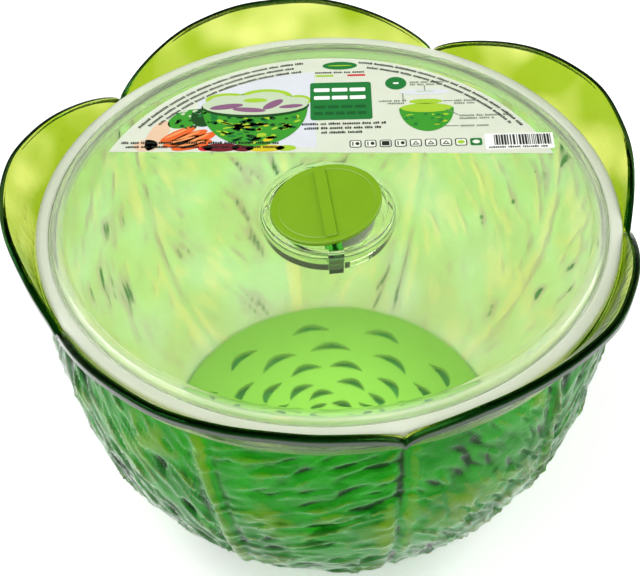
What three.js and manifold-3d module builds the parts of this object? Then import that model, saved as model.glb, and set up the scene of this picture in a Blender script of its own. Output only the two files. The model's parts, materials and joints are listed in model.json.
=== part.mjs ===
// Salad keeper: a leaf-shaped bowl with five petals, a slotted drain grid in its bottom and a flat
// clear lid with a soft seal and a rocking air vent. Millimetres. The origin is the centre of the
// bowl's flat underside, +Z is up and -Y is the front.
import * as THREE from "three";
import { mergeVertices } from "three/addons/utils/BufferGeometryUtils.js";
import Module from "manifold-3d";

const wasm = await Module();
wasm.setup();

// ---------- Driving dimensions ----------
const CLEARANCE = 0.3; // gap between pieces that rest on or beside each other

// Bowl
const SEAT_HEIGHT = 129.7; // the circular ledge that carries the lid
const BASE_RADIUS = 60; // where the flat underside ends
const WALL_INSET = 0.3; // outside of the wall at the ledge, inside the lid's edge
const WALL_FULLNESS = 2.6; // larger makes the lower wall rounder
const WALL_STEEPNESS = 0.62; // smaller makes the upper wall more upright
const BOWL_WALL = 2.7;
const BOWL_FLOOR = 3;
const RIM_THICKNESS = 3;
const RIM_EASE = 0.8; // height of the rim's rounded edges
// Heights of the wall's rows, as shares of its height: close together where it curves most
const WALL_ROWS = [0.004, 0.03, 0.09, 0.2, 0.36, 0.56, 0.78, 1];

// Petals of the rim
const PETALS = 5;
const FIRST_NOTCH = 210.3; // azimuth of the front left notch, degrees
const PETAL_FLARE = 9.6; // how far a petal's middle leans out past a notch
const PETAL_RISE = 17.4; // how far a petal's middle stands above a notch
const NOTCH_HEIGHT = 1.3; // rim at a notch, above the ledge
const JOG_DROP = 2.4; // the outer step of the rim starts this far below the ledge
const JOG_RISE = 1.8; // height of the outer step
const JOG_INSET = 0.6; // outer step, inside the rim at a notch

// Lid
const LID_RADIUS = 114.5;
const SEAL_WIDTH = 5.5;
const SEAL_LIP = 2; // soft lip under the flange
const FLANGE_THICKNESS = 1.6;
const PANEL_THICKNESS = 2.2;
const PANEL_RISE = 3.9; // top of the panel above the underside of the flange
const SPIGOT_DEPTH = 5; // ring under the lid that centres it in the bowl
const SPIGOT_WALL = 1.7;
const SPIGOT_INSET = 0.5; // ring's outside, inside the seal's inner edge
const FLANGE_INSET = 2.3; // flange's edge, inside the seal's
const LID_TURN = 6.5; // the vent's axis stands off the view axis by this, degrees

// Vent
const DISC_RADIUS = 22.2;
const DISC_THICKNESS = 2;
const DISC_GAP = 1; // between the disc and the collar round it
const COLLAR_WALL = 2.4;
const COLLAR_RISE = 1; // collar above the panel
const WELL_DEPTH = 7.5; // well floor's top, below the panel's top
const WELL_FLOOR = 2;
const DISC_LIFT = 2.9; // top of the level disc, above the collar
const VENT_TILT = 9; // the disc stands open by this angle at rest, degrees
const PIVOT_DROP = 4; // pivot axis below the underside of the level disc
const BAR_WIDTH = 4.6;
const BAR_MARGIN = 2.7; // from each end of the bar to the disc's edge
const BAR_HEIGHT = 0.7;
const YOKE_WIDTH = 5.6;
const YOKE_THICKNESS = 2.6;
const YOKE_INSET = 1.2; // outer face of a leg, inside the collar's outside
const YOKE_DROP = 0.9; // top of a leg, below the level disc
const PIN_RADIUS = 1.2;
const PIN_CLEARANCE = 0.15; // round a pin, in its bore
const PIN_REACH = 2.4; // how far a pin goes into its leg
const EAR_THICKNESS = 2;
const EAR_WIDTH = 5;
const POST_THICKNESS = 2;
const STOP_LENGTH = 18;
const OVERLAP = 0.5; // how far joined pieces run into each other
const GASKET_THICKNESS = 1.5;
const GASKET_INSET = 5.2; // from the collar to the gasket's round edge
const GASKET_OVERLAP = 2.2; // gasket past the air opening, all round
const STOP_INSET = 6.2; // from the disc's edge to the middle of the stop rib

// Label
const LABEL_MARGIN = 10.3; // from the lid's spigot to the label's round edge
const LABEL_EDGE = 34; // straight edge, from the lid's centre
const LABEL_TURN = -2.3; // degrees
const LABEL_THICKNESS = 0.4;

// Drain grid
const GRID_GAP = 3.7; // between the grid's edge and the wall
const GRID_THICKNESS = 2;
const GRID_FEET = 3.6; // height of the feet under the plate
const FOOT_RADIUS = 2.6;
const FOOT_COUNT = 6;
const FOOT_INSET = 9; // from the edge of the flat underside to the circle of the feet
const FOOT_TURN = 33; // azimuth of the first foot, degrees
// Rows of crescent slots: radius of the row, slot length, bulge, and the azimuth of each slot
const SLOT_WIDTH = 4.2;
const SLOT_ROWS = [
  { radius: 12, length: 11.5, bulge: 4.6, at: [57, 141, 225, 309] },
  { radius: 18.5, length: 12.4, bulge: 5, at: [15, 110, 190, 271] },
  { radius: 25.8, length: 14.4, bulge: 5.4, at: [24, 66, 131, 173, 215, 257, 300, 342] },
  { radius: 35.5, length: 16, bulge: 5.3, at: [35, 78, 112, 150, 190, 230, 270, 312, 354] },
  { radius: 46.8, length: 19.8, bulge: 6.1, at: [16, 50, 90, 125, 160, 197, 233, 269, 305, 341] },
  { radius: 59, length: 18.4, bulge: 5.5, at: [26, 64, 100, 138, 172, 208, 244, 280, 316, 352] },
];

// ---------- Derived places ----------
const SEAT_EDGE = LID_RADIUS + CLEARANCE; // where the petals rise from the ledge
const WALL_RADIUS = LID_RADIUS - WALL_INSET;
const SEAL_UNDERSIDE = SEAT_HEIGHT + CLEARANCE;
const FLANGE_UNDERSIDE = SEAL_UNDERSIDE + SEAL_LIP + CLEARANCE;
const PANEL_TOP = FLANGE_UNDERSIDE + PANEL_RISE;
const PANEL_UNDERSIDE = PANEL_TOP - PANEL_THICKNESS;
const COLLAR_INNER = DISC_RADIUS + DISC_GAP;
const COLLAR_OUTER = COLLAR_INNER + COLLAR_WALL;
const COLLAR_TOP = PANEL_TOP + COLLAR_RISE;
const WELL_TOP = PANEL_TOP - WELL_DEPTH;
const WELL_UNDERSIDE = WELL_TOP - WELL_FLOOR;
const DISC_UNDERSIDE = COLLAR_TOP + DISC_LIFT - DISC_THICKNESS;
const PIVOT_HEIGHT = DISC_UNDERSIDE - PIVOT_DROP;
const GRID_UNDERSIDE = BOWL_FLOOR + CLEARANCE + GRID_FEET;
const SEAL_INNER = LID_RADIUS - SEAL_WIDTH;
const FLANGE_RADIUS = LID_RADIUS - FLANGE_INSET;
const SPIGOT_OUTER = SEAL_INNER - SPIGOT_INSET;
const SPIGOT_INNER = SPIGOT_OUTER - SPIGOT_WALL;
const YOKE_REACH = COLLAR_OUTER - YOKE_INSET; // outer face of the yoke's legs
const YOKE_LEG = 4; // depth of a leg along the pivot axis
const GASKET_RADIUS = COLLAR_INNER - GASKET_INSET;
const GASKET_EDGE = YOKE_WIDTH / 2 - 0.2; // straight edge, from the pivot axis
const GASKET_TOP = WELL_TOP + CLEARANCE + GASKET_THICKNESS;

const radians = THREE.MathUtils.degToRad;
const ROUND = 72; // steps round a turned piece
const PETAL_STEPS = 18; // steps across one petal

// ---------- Making and joining solids ----------

function finish(colour, roughness, opacity = 1) {
  return new THREE.MeshStandardMaterial({
    color: colour,
    roughness,
    metalness: 0,
    transparent: opacity < 1,
    opacity,
  });
}

// A closed geometry as a solid that can be joined or cut
function solidOf(geometry) {
  const bare = geometry.clone();
  for (const name of Object.keys(bare.attributes)) {
    if (name !== "position") bare.deleteAttribute(name);
  }
  const merged = mergeVertices(bare, 1e-3);
  const index = merged.index.array;
  const triangles = [];
  for (let i = 0; i < index.length; i += 3) {
    const [a, b, c] = [index[i], index[i + 1], index[i + 2]];
    if (a !== b && b !== c && c !== a) triangles.push(a, b, c);
  }
  return new wasm.Manifold(
    new wasm.Mesh({
      numProp: 3,
      vertProperties: new Float32Array(merged.attributes.position.array),
      triVerts: new Uint32Array(triangles),
    }),
  );
}

function geometryOf(solid) {
  const mesh = solid.getMesh();
  const geometry = new THREE.BufferGeometry();
  geometry.setAttribute("position", new THREE.BufferAttribute(mesh.vertProperties, 3));
  geometry.setIndex(new THREE.BufferAttribute(mesh.triVerts, 1));
  return geometry;
}

// A solid turned about Z from an outline of [radius, height] points
function turned(outline, steps = ROUND) {
  const points = outline.map(([r, z]) => new THREE.Vector2(r, z));
  return new THREE.LatheGeometry(points, steps).rotateX(Math.PI / 2);
}

// A ring with a square section
function ring(inner, outer, low, high) {
  return turned([
    [inner, low],
    [outer, low],
    [outer, high],
    [inner, high],
    [inner, low],
  ]);
}

function block(sizeX, sizeY, sizeZ, x, y, z) {
  return new THREE.BoxGeometry(sizeX, sizeY, sizeZ).translate(x, y, z);
}

// A round rod along Y
function rod(radius, length, x, y, z) {
  return new THREE.CylinderGeometry(radius, radius, length, 16).translate(x, y, z);
}

// A flat plate from an outline in the XY plane
function plate(shape, low, high, segments = 24) {
  const options = { depth: high - low, bevelEnabled: false, curveSegments: segments };
  return new THREE.ExtrudeGeometry(shape, options).translate(0, 0, low);
}

// The part of a disc that lies beyond a straight edge at x = edge
function segmentShape(radius, edge) {
  const half = Math.acos(edge / radius);
  const shape = new THREE.Shape();
  shape.absarc(0, 0, radius, -half, half, false);
  shape.closePath();
  return shape;
}

function join(...geometries) {
  return geometries.map(solidOf).reduce((whole, piece) => whole.add(piece));
}

function named(name, geometry, material) {
  const mesh = new THREE.Mesh(geometry, material);
  mesh.name = name;
  return mesh;
}

// ---------- Bowl ----------

// Outside radius of the wall at a height
function wallRadius(height) {
  const below = 1 - height / SEAT_HEIGHT;
  const swell = (1 - below ** WALL_FULLNESS) ** WALL_STEEPNESS;
  return BASE_RADIUS + (WALL_RADIUS - BASE_RADIUS) * swell;
}

// The rim's middle line at an azimuth in degrees: petals rise steeply from each notch
function rimAt(azimuth) {
  const pitch = 360 / PETALS;
  const across = ((((azimuth - FIRST_NOTCH) % pitch) + pitch) % pitch) / pitch;
  const wave = Math.sin(Math.PI * across);
  return {
    radius: SEAT_EDGE + RIM_THICKNESS / 2 + PETAL_FLARE * wave ** 1.2,
    height: SEAT_HEIGHT + NOTCH_HEIGHT + PETAL_RISE * wave ** 0.62,
  };
}

// The bowl's section at an azimuth, from the axis out, up, over the rim and back to the axis
function bowlSection(azimuth) {
  const rim = rimAt(azimuth);
  const half = RIM_THICKNESS / 2;
  const jog = SEAT_HEIGHT - JOG_DROP;
  const outside = WALL_ROWS.map((s) => s * jog);
  const inside = outside.map((z) => BOWL_FLOOR + (z * (SEAT_HEIGHT - BOWL_FLOOR)) / jog);
  const section = [[0, 0], [BASE_RADIUS - 2, 0]];
  for (const z of outside) section.push([wallRadius(z), z]);
  // outer step, then the petal's outer face
  const stepEdge = SEAT_EDGE + RIM_THICKNESS - JOG_INSET;
  const stepTop = jog + JOG_RISE;
  section.push([stepEdge, stepTop]);
  for (const s of [0.35, 0.7]) {
    section.push([
      stepEdge + (rim.radius + half - stepEdge) * s,
      stepTop + (rim.height - RIM_EASE - stepTop) * s,
    ]);
  }
  section.push([rim.radius + half, rim.height - RIM_EASE]);
  section.push([rim.radius + half * 0.4, rim.height]);
  section.push([rim.radius - half * 0.5, rim.height - 0.1]);
  section.push([rim.radius - half, rim.height - 0.9]);
  for (const s of [0.65, 0.3]) {
    section.push([
      SEAT_EDGE + (rim.radius - half - SEAT_EDGE) * s,
      SEAT_HEIGHT + (rim.height - 0.9 - SEAT_HEIGHT) * s,
    ]);
  }
  section.push([SEAT_EDGE, SEAT_HEIGHT]);
  for (const z of inside.reverse()) section.push([wallRadius(z) - BOWL_WALL, z]);
  section.push([BASE_RADIUS + 2, BOWL_FLOOR], [0, BOWL_FLOOR]);
  return section;
}

// A solid whose section changes round the axis
function roundSolid(sectionAt, steps, first) {
  const positions = [];
  const index = [];
  const count = sectionAt(first).length;
  const inner = count - 2;
  for (let i = 0; i < steps; i++) {
    const azimuth = first + (360 * i) / steps;
    const section = sectionAt(azimuth);
    for (let j = 1; j < count - 1; j++) {
      const [r, z] = section[j];
      positions.push(r * Math.cos(radians(azimuth)), r * Math.sin(radians(azimuth)), z);
    }
  }
  const bottom = steps * inner;
  const top = bottom + 1;
  const ends = sectionAt(first);
  positions.push(0, 0, ends[0][1], 0, 0, ends[count - 1][1]);
  for (let i = 0; i < steps; i++) {
    const a = i * inner;
    const b = ((i + 1) % steps) * inner;
    index.push(bottom, b, a);
    for (let j = 0; j < inner - 1; j++) {
      index.push(a + j, b + j, b + j + 1);
      index.push(a + j, b + j + 1, a + j + 1);
    }
    index.push(a + inner - 1, b + inner - 1, top);
  }
  const geometry = new THREE.BufferGeometry();
  geometry.setAttribute("position", new THREE.BufferAttribute(new Float32Array(positions), 3));
  geometry.setIndex(index);
  return geometry;
}

function makeBowl() {
  const geometry = roundSolid(bowlSection, PETALS * PETAL_STEPS, FIRST_NOTCH);
  return named("bowl", geometry, finish(0x3fae2a, 0.08, 0.6));
}

// ---------- Drain grid ----------

// A crescent slot, bulging outwards, with its outer edge at the row's radius
function crescent(row, azimuth) {
  const steps = 6;
  const half = row.length / 2;
  const points = [];
  const place = (across, outwards) => {
    const turn = radians(azimuth);
    const r = row.radius - row.bulge + outwards;
    return new THREE.Vector2(
      r * Math.cos(turn) - across * Math.sin(turn),
      r * Math.sin(turn) + across * Math.cos(turn),
    );
  };
  for (let i = 0; i <= steps; i++) {
    const t = -1 + (2 * i) / steps;
    points.push(place(half * t, row.bulge * (1 - t * t)));
  }
  for (let i = steps - 1; i > 0; i--) {
    const t = -1 + (2 * i) / steps;
    points.push(place(half * t, (row.bulge - SLOT_WIDTH) * (1 - t * t)));
  }
  return new THREE.Path(points);
}

function makeGrid() {
  const radius = wallRadius(GRID_UNDERSIDE) - BOWL_WALL - GRID_GAP;
  const outline = new THREE.Path().absarc(0, 0, radius, 0, 2 * Math.PI, false);
  const shape = new THREE.Shape(outline.getPoints(48).slice(0, -1));
  for (const row of SLOT_ROWS) {
    for (const azimuth of row.at) shape.holes.push(crescent(row, azimuth));
  }
  const feet = [];
  for (let i = 0; i < FOOT_COUNT; i++) {
    const turn = radians(FOOT_TURN + (360 * i) / FOOT_COUNT);
    const foot = new THREE.CylinderGeometry(FOOT_RADIUS, FOOT_RADIUS * 0.8, GRID_FEET + OVERLAP, 12);
    foot.rotateX(Math.PI / 2);
    foot.translate(
      (BASE_RADIUS - FOOT_INSET) * Math.cos(turn),
      (BASE_RADIUS - FOOT_INSET) * Math.sin(turn),
      GRID_UNDERSIDE - GRID_FEET / 2 + OVERLAP / 2,
    );
    feet.push(foot);
  }
  const top = plate(shape, GRID_UNDERSIDE, GRID_UNDERSIDE + GRID_THICKNESS);
  return named("drain_grid", geometryOf(join(top, ...feet)), finish(0x8bbf45, 0.55));
}

// ---------- Lid ----------

function makeLidPanel() {
  const flangeTop = FLANGE_UNDERSIDE + FLANGE_THICKNESS;
  const spigotEnd = FLANGE_UNDERSIDE - SPIGOT_DEPTH;
  const shell = turned([
    [0, WELL_UNDERSIDE],
    [COLLAR_OUTER, WELL_UNDERSIDE],
    [COLLAR_OUTER, PANEL_UNDERSIDE],
    [SPIGOT_INNER - 1.5, PANEL_UNDERSIDE],
    [SPIGOT_INNER, PANEL_UNDERSIDE - 1.5],
    [SPIGOT_INNER, spigotEnd],
    [SPIGOT_OUTER, spigotEnd],
    [SPIGOT_OUTER, FLANGE_UNDERSIDE],
    [FLANGE_RADIUS, FLANGE_UNDERSIDE],
    [FLANGE_RADIUS, flangeTop],
    [SPIGOT_OUTER + 0.3, flangeTop],
    [SPIGOT_OUTER - 0.7, PANEL_TOP - 0.4],
    [SPIGOT_OUTER - 2, PANEL_TOP + 0.5],
    [SPIGOT_INNER - 2, PANEL_TOP + 0.3],
    [SPIGOT_INNER - 3.5, PANEL_TOP],
    [COLLAR_OUTER + 2.5, PANEL_TOP],
    [COLLAR_OUTER + 0.4, PANEL_TOP + 0.6],
    [COLLAR_OUTER, COLLAR_TOP - 0.4],
    [COLLAR_OUTER - 0.6, COLLAR_TOP],
    [COLLAR_INNER + 0.6, COLLAR_TOP],
    [COLLAR_INNER, COLLAR_TOP - 0.5],
    [COLLAR_INNER, WELL_TOP],
    [0, WELL_TOP],
  ]);
  let solid = solidOf(shell);
  // half-round air opening under the side of the disc that lifts
  const mouth = segmentShape(GASKET_RADIUS - GASKET_OVERLAP, GASKET_EDGE + GASKET_OVERLAP);
  const opening = plate(mouth, WELL_UNDERSIDE - 1, WELL_TOP + 1, 10);
  solid = solid.subtract(solidOf(opening));
  // slots for the yoke's legs, through the well's floor and into the collar
  const slotDepth = YOKE_LEG + 2 * CLEARANCE;
  const slotHeight = COLLAR_TOP + 1 - (WELL_UNDERSIDE - 1);
  for (const side of [-1, 1]) {
    const y = side * (YOKE_REACH - YOKE_LEG / 2);
    const middle = WELL_UNDERSIDE - 1 + slotHeight / 2;
    const slot = block(YOKE_WIDTH + 2 * CLEARANCE, slotDepth, slotHeight, 0, y, middle);
    solid = solid.subtract(solidOf(slot));
  }
  return named("lid_panel", geometryOf(solid), finish(0xeef3e2, 0.05, 0.3));
}

// Soft ring with a groove that grips the lid's flange
function makeLidSeal() {
  const low = FLANGE_UNDERSIDE - CLEARANCE;
  const high = FLANGE_UNDERSIDE + FLANGE_THICKNESS + CLEARANCE;
  const geometry = turned([
    [SEAL_INNER, SEAL_UNDERSIDE],
    [LID_RADIUS - 0.8, SEAL_UNDERSIDE],
    [LID_RADIUS, SEAL_UNDERSIDE + 0.9],
    [LID_RADIUS, high - 0.2],
    [LID_RADIUS - 0.9, high + 0.8],
    [SEAL_INNER + 0.9, high + 0.8],
    [SEAL_INNER + 0.4, high],
    [FLANGE_RADIUS + CLEARANCE, high],
    [FLANGE_RADIUS + CLEARANCE, low],
    [SEAL_INNER, low],
    [SEAL_INNER, SEAL_UNDERSIDE],
  ]);
  return named("lid_seal", geometry, finish(0xe3edcf, 0.45, 0.85));
}

// Printed film on the back part of the panel
function makeLabel() {
  const low = PANEL_TOP + CLEARANCE;
  const shape = segmentShape(SPIGOT_INNER - LABEL_MARGIN, LABEL_EDGE);
  const film = plate(shape, low, low + LABEL_THICKNESS, 40);
  film.rotateZ(radians(90 + LABEL_TURN - LID_TURN));
  return named("label_film", film, finish(0xeef2dc, 0.35));
}

// Clip under the lid whose two legs come up through the well and carry the disc's pins
function makeYoke() {
  const top = DISC_UNDERSIDE - YOKE_DROP;
  const under = WELL_UNDERSIDE - CLEARANCE - YOKE_THICKNESS;
  const parts = [
    block(YOKE_WIDTH, 2 * YOKE_REACH, YOKE_THICKNESS, 0, 0, under + YOKE_THICKNESS / 2),
  ];
  for (const side of [-1, 1]) {
    const y = side * (YOKE_REACH - YOKE_LEG / 2);
    parts.push(block(YOKE_WIDTH, YOKE_LEG, top - under, 0, y, (top + under) / 2));
  }
  const bore = rod(PIN_RADIUS + PIN_CLEARANCE, 2 * YOKE_REACH + 2, 0, 0, PIVOT_HEIGHT);
  const solid = join(...parts).subtract(solidOf(bore));
  return named("vent_yoke", geometryOf(solid), finish(0x1f8f2e, 0.25));
}

// ---------- Vent disc and its gasket, made level and then tilted about the pins ----------

function makeDisc() {
  const discTop = DISC_UNDERSIDE + DISC_THICKNESS;
  const body = turned([
    [0, DISC_UNDERSIDE],
    [DISC_RADIUS - 0.5, DISC_UNDERSIDE],
    [DISC_RADIUS, DISC_UNDERSIDE + 0.5],
    [DISC_RADIUS, discTop - 0.7],
    [DISC_RADIUS - 0.7, discTop],
    [0, discTop],
  ]);
  const parts = [body];
  const barLength = 2 * (DISC_RADIUS - BAR_MARGIN);
  parts.push(block(BAR_WIDTH, barLength, BAR_HEIGHT + 1, 0, 0, discTop + (BAR_HEIGHT - 1) / 2));
  // ears and pins, just inside the yoke's legs
  const legInside = YOKE_REACH - YOKE_LEG;
  const earInner = legInside - CLEARANCE - EAR_THICKNESS;
  for (const side of [-1, 1]) {
    const earLow = PIVOT_HEIGHT - PIN_RADIUS - 0.8;
    const earHeight = DISC_UNDERSIDE + OVERLAP - earLow;
    const earY = side * (earInner + EAR_THICKNESS / 2);
    parts.push(block(EAR_WIDTH, EAR_THICKNESS, earHeight, 0, earY, earLow + earHeight / 2));
    const pinLength = legInside + PIN_REACH - earInner;
    parts.push(rod(PIN_RADIUS, pinLength, 0, side * (earInner + pinLength / 2), PIVOT_HEIGHT));
  }
  // posts down to the gasket, and the rib that stops the disc when it is open
  const posts = [
    { x: 0.45 * GASKET_RADIUS, length: 1.2 * GASKET_RADIUS },
    { x: 0.8 * GASKET_RADIUS, length: 0.6 * GASKET_RADIUS },
  ];
  for (const post of posts) {
    const low = GASKET_TOP + CLEARANCE;
    const height = DISC_UNDERSIDE + OVERLAP - low;
    parts.push(block(POST_THICKNESS, post.length, height, post.x, 0, low + height / 2));
  }
  // at the open angle the rib's foot clears the well's floor
  const stopX = DISC_RADIUS - STOP_INSET;
  const reach = stopX + POST_THICKNESS / 2;
  const stopLow = WELL_TOP + CLEARANCE + reach * Math.sin(radians(VENT_TILT));
  const stopHeight = DISC_UNDERSIDE + OVERLAP - stopLow;
  parts.push(block(POST_THICKNESS, STOP_LENGTH, stopHeight, -stopX, 0, stopLow + stopHeight / 2));
  return named("vent_disc", geometryOf(join(...parts)), finish(0x8fbe14, 0.35));
}

// Half-round soft pad that closes the air opening
function makeGasket() {
  const shape = segmentShape(GASKET_RADIUS, GASKET_EDGE);
  const low = GASKET_TOP - GASKET_THICKNESS;
  return named("vent_gasket", plate(shape, low, GASKET_TOP, 10), finish(0xd9dccb, 0.6));
}

// ---------- Assembly ----------

const keeper = new THREE.Group();
keeper.add(makeBowl(), makeGrid());

const lid = new THREE.Group();
lid.rotation.z = radians(LID_TURN);
lid.add(makeLidPanel(), makeLidSeal(), makeLabel(), makeYoke());

// The vent turns about its pins: its children are placed from the pivot axis
const vent = new THREE.Group();
vent.position.z = PIVOT_HEIGHT;
vent.rotation.y = -radians(VENT_TILT);
for (const piece of [makeDisc(), makeGasket()]) {
  piece.position.z = -PIVOT_HEIGHT;
  vent.add(piece);
}
lid.add(vent);
keeper.add(lid);

export default keeper;
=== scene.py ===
"""Salad keeper: the look of each piece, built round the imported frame.

Sizes in this file are millimetres unless a name says otherwise; meshes are made in metres.
"""

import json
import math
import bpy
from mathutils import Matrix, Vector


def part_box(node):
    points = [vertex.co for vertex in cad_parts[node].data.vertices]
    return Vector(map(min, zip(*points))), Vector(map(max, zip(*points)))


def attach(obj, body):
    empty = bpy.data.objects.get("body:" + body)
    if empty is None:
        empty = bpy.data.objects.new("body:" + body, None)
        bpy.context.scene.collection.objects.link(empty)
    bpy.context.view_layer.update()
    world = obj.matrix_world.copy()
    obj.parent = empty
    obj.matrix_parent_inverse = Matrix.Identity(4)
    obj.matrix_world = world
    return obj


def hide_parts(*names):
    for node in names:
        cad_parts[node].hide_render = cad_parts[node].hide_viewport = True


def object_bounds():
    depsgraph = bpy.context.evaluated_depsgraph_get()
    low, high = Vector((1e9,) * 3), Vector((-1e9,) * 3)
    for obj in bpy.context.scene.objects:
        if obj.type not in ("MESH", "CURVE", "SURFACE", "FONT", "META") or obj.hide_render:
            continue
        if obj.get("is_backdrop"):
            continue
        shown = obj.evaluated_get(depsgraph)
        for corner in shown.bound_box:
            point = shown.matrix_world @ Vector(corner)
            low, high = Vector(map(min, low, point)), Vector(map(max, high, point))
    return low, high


bl_info = {
    "name": "Salad keeper",
    "version": (1, 0, 0),
    "blender": (4, 5, 0),
    "location": "View3D > Sidebar > Keeper",
    "description": "Builds a leaf-shaped salad bowl with its drain grid, sealed lid and air vent",
    "category": "Add Mesh",
}

import bpy
import numpy as np
from mathutils import Matrix, Vector

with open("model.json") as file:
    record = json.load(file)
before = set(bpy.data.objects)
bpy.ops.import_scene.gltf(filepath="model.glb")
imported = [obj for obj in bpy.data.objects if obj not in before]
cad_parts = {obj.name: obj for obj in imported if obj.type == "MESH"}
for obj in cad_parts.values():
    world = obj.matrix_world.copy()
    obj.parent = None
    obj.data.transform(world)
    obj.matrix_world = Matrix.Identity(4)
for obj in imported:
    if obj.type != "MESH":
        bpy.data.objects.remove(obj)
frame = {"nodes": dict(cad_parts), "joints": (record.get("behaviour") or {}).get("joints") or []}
CAD_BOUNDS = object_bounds()
MM = 0.001


def span(node):
    """A node's lowest and highest corners in millimetres."""
    low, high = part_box(node)
    return low / MM, high / MM


# ---------- Places taken from the frame ----------

SEAL_LOW, SEAL_HIGH = span("lid_seal")
PANEL_LOW, PANEL_HIGH = span("lid_panel")
LABEL_LOW, _ = span("label_film")
GAP = 0.3
LID_RADIUS = (SEAL_HIGH.x - SEAL_LOW.x) / 2
SEAT_HEIGHT = SEAL_LOW.z - GAP
SEAT_EDGE = LID_RADIUS + GAP
FLANGE_RADIUS = (PANEL_HIGH.x - PANEL_LOW.x) / 2
COLLAR_TOP = PANEL_HIGH.z
PANEL_TOP = LABEL_LOW.z - GAP
WELL_UNDERSIDE = PANEL_LOW.z
HINGE = next(j for j in frame["joints"] if j["name"] == "vent_rock")
PIVOT_HEIGHT = HINGE["pos_m"][2] / MM
LID_TURN = math.atan2(-HINGE["axis"][0], HINGE["axis"][1])
VENT_TILT = math.radians(HINGE["range_deg"][1])

# ---------- Shape of the bowl ----------

BASE_RADIUS = 60
WALL_RADIUS = LID_RADIUS - 0.3
WALL_FULLNESS = 2.6
WALL_STEEPNESS = 0.62
BOWL_WALL = 2.7
BOWL_FLOOR = 3
RIM_STRIP = 3.0  # height of the strip on the outer face below the rim's top that is painted near black as painted shade
RIM_THICKNESS = 3
PETALS = 5
FIRST_NOTCH = 210.3
PETAL_FLARE = 9.6
PETAL_RISE = 17.4
NOTCH_HEIGHT = 1.3
JOG_DROP = 2.4
JOG_RISE = 1.8


# ---------- Settings that a user would change ----------


class KeeperSizes(bpy.types.PropertyGroup):
    """Sizes of the details that the frame leaves free."""

    relief: bpy.props.FloatProperty(
        name="Vein depth",
        description="How far the leaf's veins and creases stand in or out of the wall, in millimetres",
        default=1.25,
        min=0.0,
        max=2.0,
    )
    strokes: bpy.props.IntProperty(
        name="Creases per leaf",
        description="Short creases pressed into each leaf of the bowl",
        default=230,
        min=0,
        max=400,
    )
    steps_round: bpy.props.IntProperty(
        name="Steps round the bowl",
        description="Mesh columns round the bowl, a multiple of five",
        default=600,
        min=100,
        max=900,
    )


class KeeperColours(bpy.types.PropertyGroup):
    """Colours as sRGB hex values."""

    wall: bpy.props.StringProperty(
        name="Bowl wall",
        description="Tint that the veined wall adds to the clear plastic",
        default="#15CB19",
    )
    petal: bpy.props.StringProperty(
        name="Petals", description="Tint that the petals add to the clear plastic", default="#A9BE3C"
    )
    grid: bpy.props.StringProperty(
        name="Drain grid", description="Colour of the opaque drain grid", default="#7DB63C"
    )
    vent: bpy.props.StringProperty(
        name="Vent disc", description="Colour of the rocking vent disc", default="#7CAA08"
    )
    film: bpy.props.StringProperty(
        name="Label", description="Ground colour of the printed film", default="#EEF4E0"
    )


# ---------- Colour and node helpers ----------


def linear(hex_colour):
    """An sRGB hex value as linear red, green, blue and a full alpha."""
    values = [int(hex_colour[i : i + 2], 16) / 255 for i in (1, 3, 5)]
    return [v / 12.92 if v <= 0.04045 else ((v + 0.055) / 1.055) ** 2.4 for v in values] + [1.0]


def add_node(tree, kind, links=None, **settings):
    """Adds a node. Settings name its properties or, where there is none, its inputs; links feed inputs."""
    node = tree.nodes.new(kind)
    for name, value in settings.items():
        if name in node.bl_rna.properties:
            setattr(node, name, value)
        else:
            node.inputs[name.replace("_", " ")].default_value = value
    for name, socket in (links or {}).items():
        tree.links.new(socket, node.inputs[name])
    return node


def new_material(name):
    """A material with a Principled shader and nothing else."""
    material = bpy.data.materials.new(name)
    material.use_nodes = True
    tree = material.node_tree
    tree.nodes.clear()
    shader = add_node(tree, "ShaderNodeBsdfPrincipled")
    output = add_node(tree, "ShaderNodeOutputMaterial", {"Surface": shader.outputs[0]})
    return material, tree, shader, output


def place_mm(tree):
    """The surface point in millimetres, in the piece's own frame."""
    point = add_node(tree, "ShaderNodeTexCoord").outputs["Object"]
    scaled = add_node(tree, "ShaderNodeVectorMath", {0: point}, operation="SCALE", Scale=1 / MM)
    return scaled.outputs[0]


def noise(tree, place, size_mm, detail):
    """A noise pattern whose lumps are about size_mm across."""
    node = add_node(tree, "ShaderNodeTexNoise", {"Vector": place}, Scale=1 / size_mm, Detail=detail)
    return node.outputs["Fac"]


def spread(tree, value, low, high):
    """Maps 0..1 onto low..high."""
    return add_node(tree, "ShaderNodeMapRange", {0: value}, To_Min=low, To_Max=high).outputs[0]


def bump(tree, height, depth_mm, strength):
    """Small relief from a pattern, so many millimetres deep."""
    node = add_node(tree, "ShaderNodeBump", {"Height": height}, Strength=strength)
    node.inputs["Distance"].default_value = depth_mm * MM
    return node.outputs[0]


def two_tone(tree, value, low, high):
    """A colour between two, by a value."""
    node = add_node(tree, "ShaderNodeMix", {"Factor": value}, data_type="RGBA")
    node.inputs[6].default_value = low
    node.inputs[7].default_value = high
    return node.outputs[2]


def mottled(name, clouds, low, high, grain=None, rough=None, relief=None, **settings):
    """A material whose colour drifts between two tones.

    clouds and grain are the size and detail of a noise. The grain spreads the roughness over
    rough; relief is a noise's size and detail, then the depth and strength of its bump. Settings
    name the shader's own inputs.
    """
    material, tree, shader, _ = new_material(name)
    place = place_mm(tree)
    tone = two_tone(tree, noise(tree, place, *clouds), low, high)
    tree.links.new(tone, shader.inputs["Base Color"])
    if grain:
        spots = noise(tree, place, *grain)
        tree.links.new(spread(tree, spots, *rough), shader.inputs["Roughness"])
    if relief:
        bumps = noise(tree, place, *relief[:2])
        tree.links.new(bump(tree, bumps, *relief[2:]), shader.inputs["Normal"])
    for key, value in settings.items():
        shader.inputs[key.replace("_", " ")].default_value = value
    return material


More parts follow.
